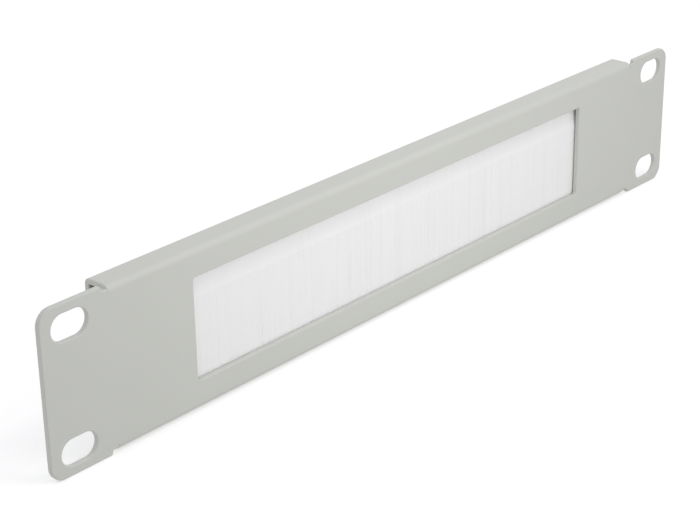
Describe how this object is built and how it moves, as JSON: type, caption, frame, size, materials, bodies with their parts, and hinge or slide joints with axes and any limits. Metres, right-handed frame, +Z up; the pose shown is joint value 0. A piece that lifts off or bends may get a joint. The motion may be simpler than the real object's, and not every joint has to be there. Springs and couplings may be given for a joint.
{
  "type": "rack brush strip panel",
  "caption": "Folded sheet-steel front panel for a half-width rack, with slotted ears and a wide cable window closed by a strip brush that hangs from its upper fold.",
  "frame": {"origin": "centre of the four mounting slots, on the ears' rear faces, which lie on Y = 0", "axes": "+X along the panel to its right seen from the front, +Y back into the rack, +Z up"},
  "size_m": [0.254, 0.008, 0.0436],
  "materials": {
    "coated_sheet": "satin light-grey powder coat with a fine texture",
    "galvanised_steel": "zinc-coated, semi-matt",
    "drawn_wire": "drawn, smooth",
    "white_bristle": "straight white synthetic bristle, slightly translucent"
  },
  "bodies": {
    "root": {"panel": "coated_sheet", "brush_channel": "galvanised_steel", "core_wire": "drawn_wire", "bristles": "white_bristle"}
  },
  "joints": []
}
